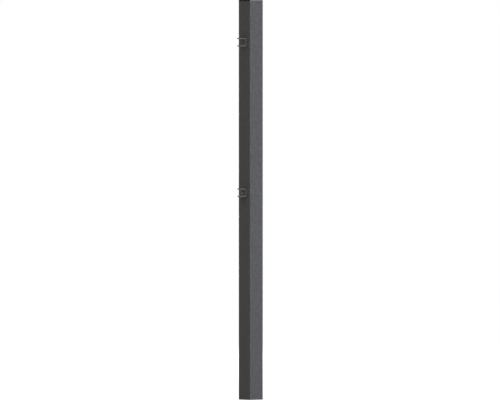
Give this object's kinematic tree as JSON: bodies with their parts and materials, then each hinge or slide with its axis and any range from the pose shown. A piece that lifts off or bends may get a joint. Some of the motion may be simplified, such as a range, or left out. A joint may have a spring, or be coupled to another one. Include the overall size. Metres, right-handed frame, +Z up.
{
  "type": "gate post",
  "caption": "Square hollow aluminium gate post with a black plastic top cap and U-shaped hinge lugs screwed to one face for a gate's hinge pins.",
  "frame": {"origin": "centre of the tube's lower end, on the plane of the cut", "axes": "+Z up the post, -X out of the face that carries the hinge lugs, Y across that face"},
  "size_m": [0.0905, 0.06, 1.4],
  "materials": {
    "coated_aluminium": "fine-textured dark grey powder coat",
    "coated_steel": "fine-textured dark grey powder coat",
    "cap_plastic": "black moulded plastic, semi-gloss",
    "black_screw": "black coated steel",
    "zinc_steel": "bright zinc plate"
  },
  "bodies": {
    "root": {"post_tube": "coated_aluminium", "post_cap": "cap_plastic", "upper_hinge_lug": "coated_steel", "lower_hinge_lug": "coated_steel", "lug_screws": "black_screw", "rivet_nuts": "zinc_steel"}
  },
  "joints": []
}
